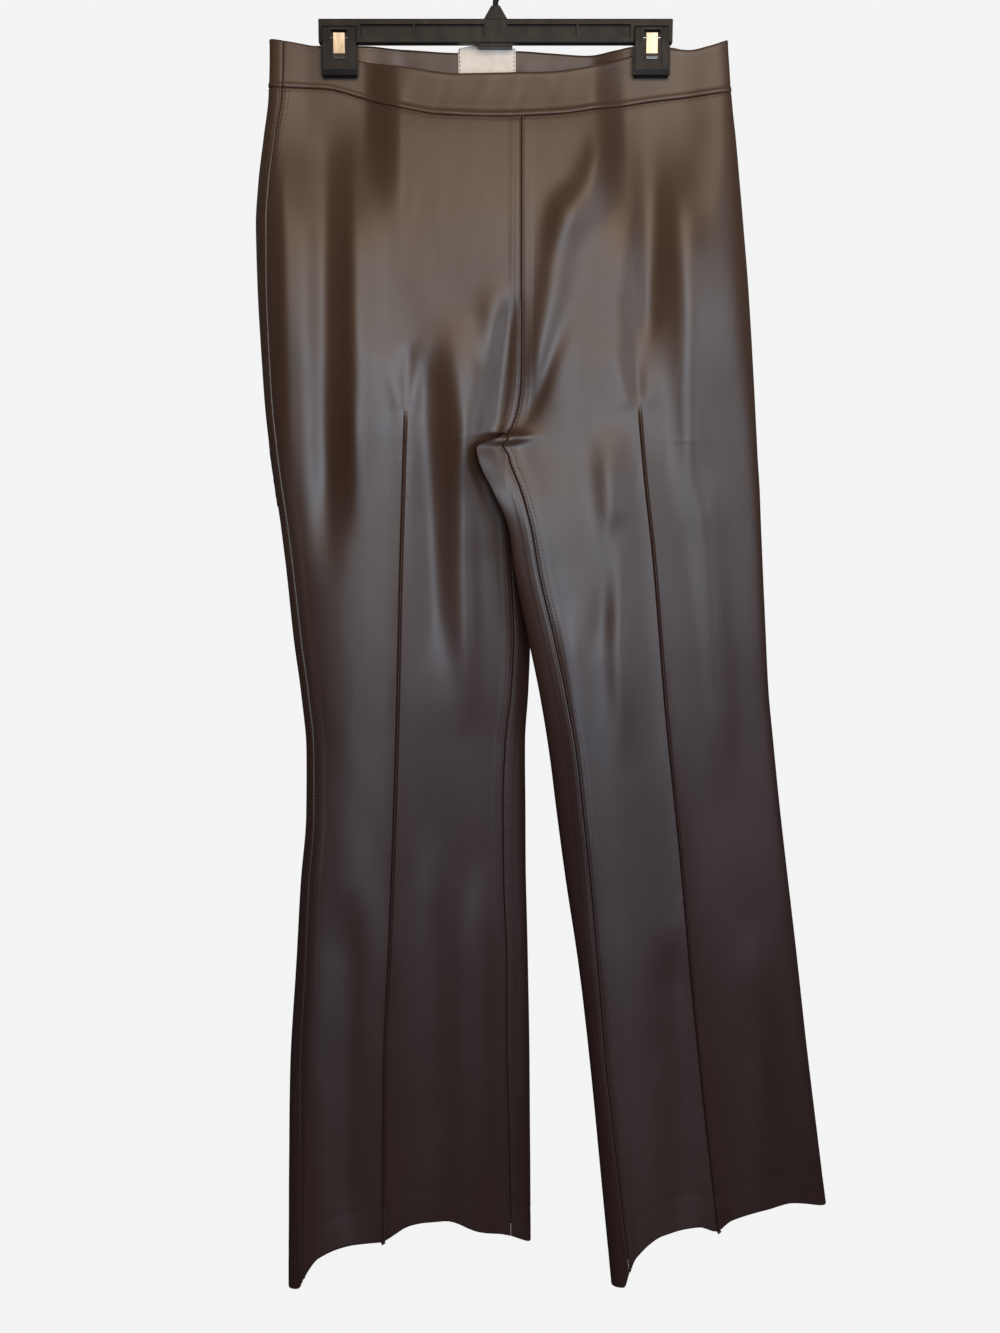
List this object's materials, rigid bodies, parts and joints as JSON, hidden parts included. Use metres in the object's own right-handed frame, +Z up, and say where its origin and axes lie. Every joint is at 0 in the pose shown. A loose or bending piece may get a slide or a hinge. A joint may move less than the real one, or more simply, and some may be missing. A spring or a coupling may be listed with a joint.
{
  "type": "trousers",
  "caption": "High-waisted flared trousers of dark brown faux leather with pin tucks down the legs, hung flat by the waistband from a black plastic clip hanger.",
  "frame": {"origin": "the inside of the top of the hanger's hook, where it rests on a rail", "axes": "+Z up along the hanging garment, +X to the right of somebody who faces the trousers' front (the wearer's left), +Y from the front to the back"},
  "size_m": [0.5322, 0.1033, 1.213],
  "materials": {
    "faux_leather": "soft semi-gloss",
    "label_cloth": "matte woven",
    "black_plastic": "satin moulded",
    "spring_steel": "bright drawn"
  },
  "bodies": {
    "root": {"front_right": "faux_leather", "back_right": "faux_leather", "front_left": "faux_leather", "back_left": "faux_leather", "waistband_front": "faux_leather", "waistband_back": "faux_leather", "label": "label_cloth", "hanger_bar": "black_plastic", "hanger_hook": "black_plastic", "clip_right_front_jaw": "black_plastic", "clip_right_back_jaw": "black_plastic", "clip_right_spring": "spring_steel", "clip_left_front_jaw": "black_plastic", "clip_left_back_jaw": "black_plastic", "clip_left_spring": "spring_steel"}
  },
  "joints": []
}
